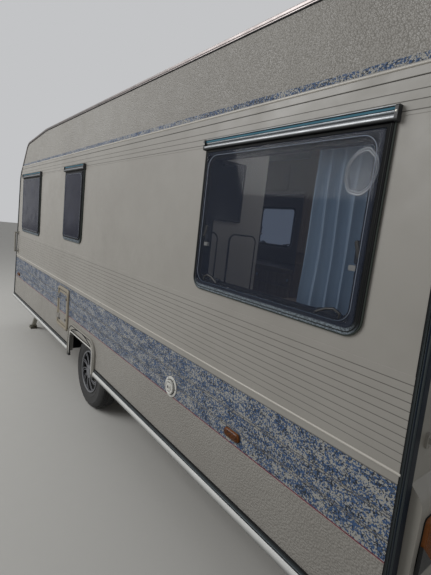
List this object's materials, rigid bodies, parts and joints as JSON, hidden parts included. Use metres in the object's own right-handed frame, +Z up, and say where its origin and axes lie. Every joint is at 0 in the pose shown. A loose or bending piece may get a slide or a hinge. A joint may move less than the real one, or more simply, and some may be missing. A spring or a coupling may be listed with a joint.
{
  "type": "travel caravan",
  "caption": "Towed travel caravan with cream ribbed walls, blue speckled band, tinted acrylic windows, side door, roof hatches, lockers, overrun coupling, jockey wheel and corner steadies.",
  "frame": {"origin": "middle of the bounding box on the ground", "axes": "+X forward to the towing coupling, +Y to the caravan's left side, +Z up"},
  "size_m": [6.744, 2.41, 2.5551],
  "materials": {
    "floor_board": "sealed board",
    "wall_metal": "cream paint on hammered sheet",
    "end_panel": "smooth cream moulding",
    "roof_skin": "off-white sheet",
    "trim_metal": "grey-blue ribbed profile",
    "rail_metal": "bright drawn profile",
    "arch_plastic": "light moulded plastic",
    "box_plastic": "black moulded plastic",
    "seal_rubber": "black seal",
    "window_acrylic": "tinted acrylic",
    "window_rail": "drawn profile",
    "door_frame": "painted profile",
    "black_plastic": "black plastic",
    "hatch_plastic": "yellowed cream plastic",
    "white_plastic": "off-white plastic",
    "lid_acrylic": "milky acrylic",
    "amber_lens": "amber lens",
    "clear_lens": "clear lens",
    "red_lens": "red and amber lens",
    "galvanised": "galvanised steel",
    "brake_steel": "dark steel with rust",
    "rim_paint": "grey paint",
    "tyre_rubber": "worn rubber",
    "cast_housing": "black cast housing",
    "zinc_steel": "zinc plated steel",
    "bellows_rubber": "black bellows",
    "wheel_rubber": "solid rubber",
    "furniture_wood": "veneered board",
    "cushion_cloth": "woven cover",
    "curtain_cloth": "blue-grey cloth"
  },
  "bodies": {
    "caravan": {"floor_panel": "floor_board", "side_wall_left": "wall_metal", "side_wall_right": "wall_metal", "rear_wall": "end_panel", "front_wall": "end_panel", "roof_panel": "roof_skin", "edge_trims": "trim_metal", "skirt_rails": "rail_metal", "wheel_arches": "arch_plastic", "wheel_boxes": "box_plastic", "window_frames": "seal_rubber", "window_panes": "window_acrylic", "window_rails": "window_rail", "door_surround": "door_frame", "service_locker": "hatch_plastic", "gas_locker_box": "box_plastic", "roof_hatch_frames": "white_plastic", "roof_vents": "white_plastic", "fridge_vents": "white_plastic", "grab_handles": "white_plastic", "water_cap": "white_plastic", "side_markers": "amber_lens", "front_lamps": "clear_lens", "rear_lamp_panel": "end_panel", "rear_lamps": "red_lens", "chassis_beams": "galvanised", "drawbar": "galvanised", "axle": "galvanised", "overrun_housing": "cast_housing", "bellows": "bellows_rubber", "coupling_head": "zinc_steel", "handbrake_lever": "cast_housing", "jockey_tube": "zinc_steel", "seat_bases": "furniture_wood", "cushions": "cushion_cloth", "table": "furniture_wood", "kitchen_unit": "furniture_wood", "cabinets": "furniture_wood", "curtains": "curtain_cloth"},
    "wheel_left": {"tyre_left": "tyre_rubber", "rim_left": "rim_paint"},
    "wheel_right": {"tyre_right": "tyre_rubber", "rim_right": "rim_paint"},
    "entrance_door": {"door_panel": "wall_metal", "door_light": "window_acrylic", "door_handle": "black_plastic"},
    "service_door": {"service_hatch_door": "hatch_plastic"},
    "gas_lid": {"gas_locker_lid": "end_panel"},
    "main_roof_lid": {"roof_hatch_lid_main": "lid_acrylic"},
    "washroom_roof_lid": {"roof_hatch_lid_washroom": "lid_acrylic"},
    "steady_front_left": {"steady_front_left": "zinc_steel"},
    "steady_front_right": {"steady_front_right": "zinc_steel"},
    "steady_rear_left": {"steady_rear_left": "zinc_steel"},
    "steady_rear_right": {"steady_rear_right": "zinc_steel"},
    "jockey_leg": {"jockey_leg": "zinc_steel"},
    "jockey_fork": {"jockey_fork": "zinc_steel"},
    "jockey_wheel": {"jockey_wheel": "wheel_rubber"}
  },
  "joints": [
    {"name": "wheel_left_spin", "type": "hinge", "parent": "caravan", "child": "wheel_left", "pos_m": [-0.662, 0.99, 0.31], "axis": [0, 1, 0], "continuous": true},
    {"name": "wheel_right_spin", "type": "hinge", "parent": "caravan", "child": "wheel_right", "pos_m": [-0.662, -0.99, 0.31], "axis": [0, 1, 0], "continuous": true},
    {"name": "entrance_door_hinge", "type": "hinge", "parent": "caravan", "child": "entrance_door", "pos_m": [0.583, -1.168, 1.32], "axis": [0, 0, 1], "range_deg": [0, 130]},
    {"name": "service_hatch_hinge", "type": "hinge", "parent": "caravan", "child": "service_door", "pos_m": [-0.012, 1.171, 0.7545], "axis": [0, 0, -1], "range_deg": [0, 100]},
    {"name": "gas_locker_hinge", "type": "hinge", "parent": "caravan", "child": "gas_lid", "pos_m": [2.043, 0, 0.9575], "axis": [0, -1, 0], "range_deg": [0, 100]},
    {"name": "main_roof_lid_hinge", "type": "hinge", "parent": "caravan", "child": "main_roof_lid", "pos_m": [-1.5581, 0, 2.49886], "axis": [0, 1, 0], "range_deg": [0, 60]},
    {"name": "washroom_roof_lid_hinge", "type": "hinge", "parent": "caravan", "child": "washroom_roof_lid", "pos_m": [-0.47209, 0.64, 2.5013], "axis": [0, -1, 0], "range_deg": [0, 50]},
    {"name": "steady_front_left_hinge", "type": "hinge", "parent": "caravan", "child": "steady_front_left", "pos_m": [1.53, 0.95, 0.37], "axis": [0, -1, 0], "range_deg": [0, 48]},
    {"name": "steady_front_right_hinge", "type": "hinge", "parent": "caravan", "child": "steady_front_right", "pos_m": [1.53, -0.95, 0.37], "axis": [0, -1, 0], "range_deg": [0, 48]},
    {"name": "steady_rear_left_hinge", "type": "hinge", "parent": "caravan", "child": "steady_rear_left", "pos_m": [-2.73, 0.95, 0.37], "axis": [0, 1, 0], "range_deg": [0, 48]},
    {"name": "steady_rear_right_hinge", "type": "hinge", "parent": "caravan", "child": "steady_rear_right", "pos_m": [-2.73, -0.95, 0.37], "axis": [0, 1, 0], "range_deg": [0, 48]},
    {"name": "jockey_slide", "type": "slide", "parent": "caravan", "child": "jockey_leg", "axis": [0, 0, 1], "range_m": [0, 0.1]},
    {"name": "jockey_swivel", "type": "hinge", "parent": "jockey_leg", "child": "jockey_fork", "pos_m": [2.906, -0.15, 0.231], "axis": [0, 0, 1], "continuous": true},
    {"name": "jockey_wheel_spin", "type": "hinge", "parent": "jockey_fork", "child": "jockey_wheel", "pos_m": [2.868, -0.15, 0.105], "axis": [0, 1, 0], "continuous": true}
  ]
}
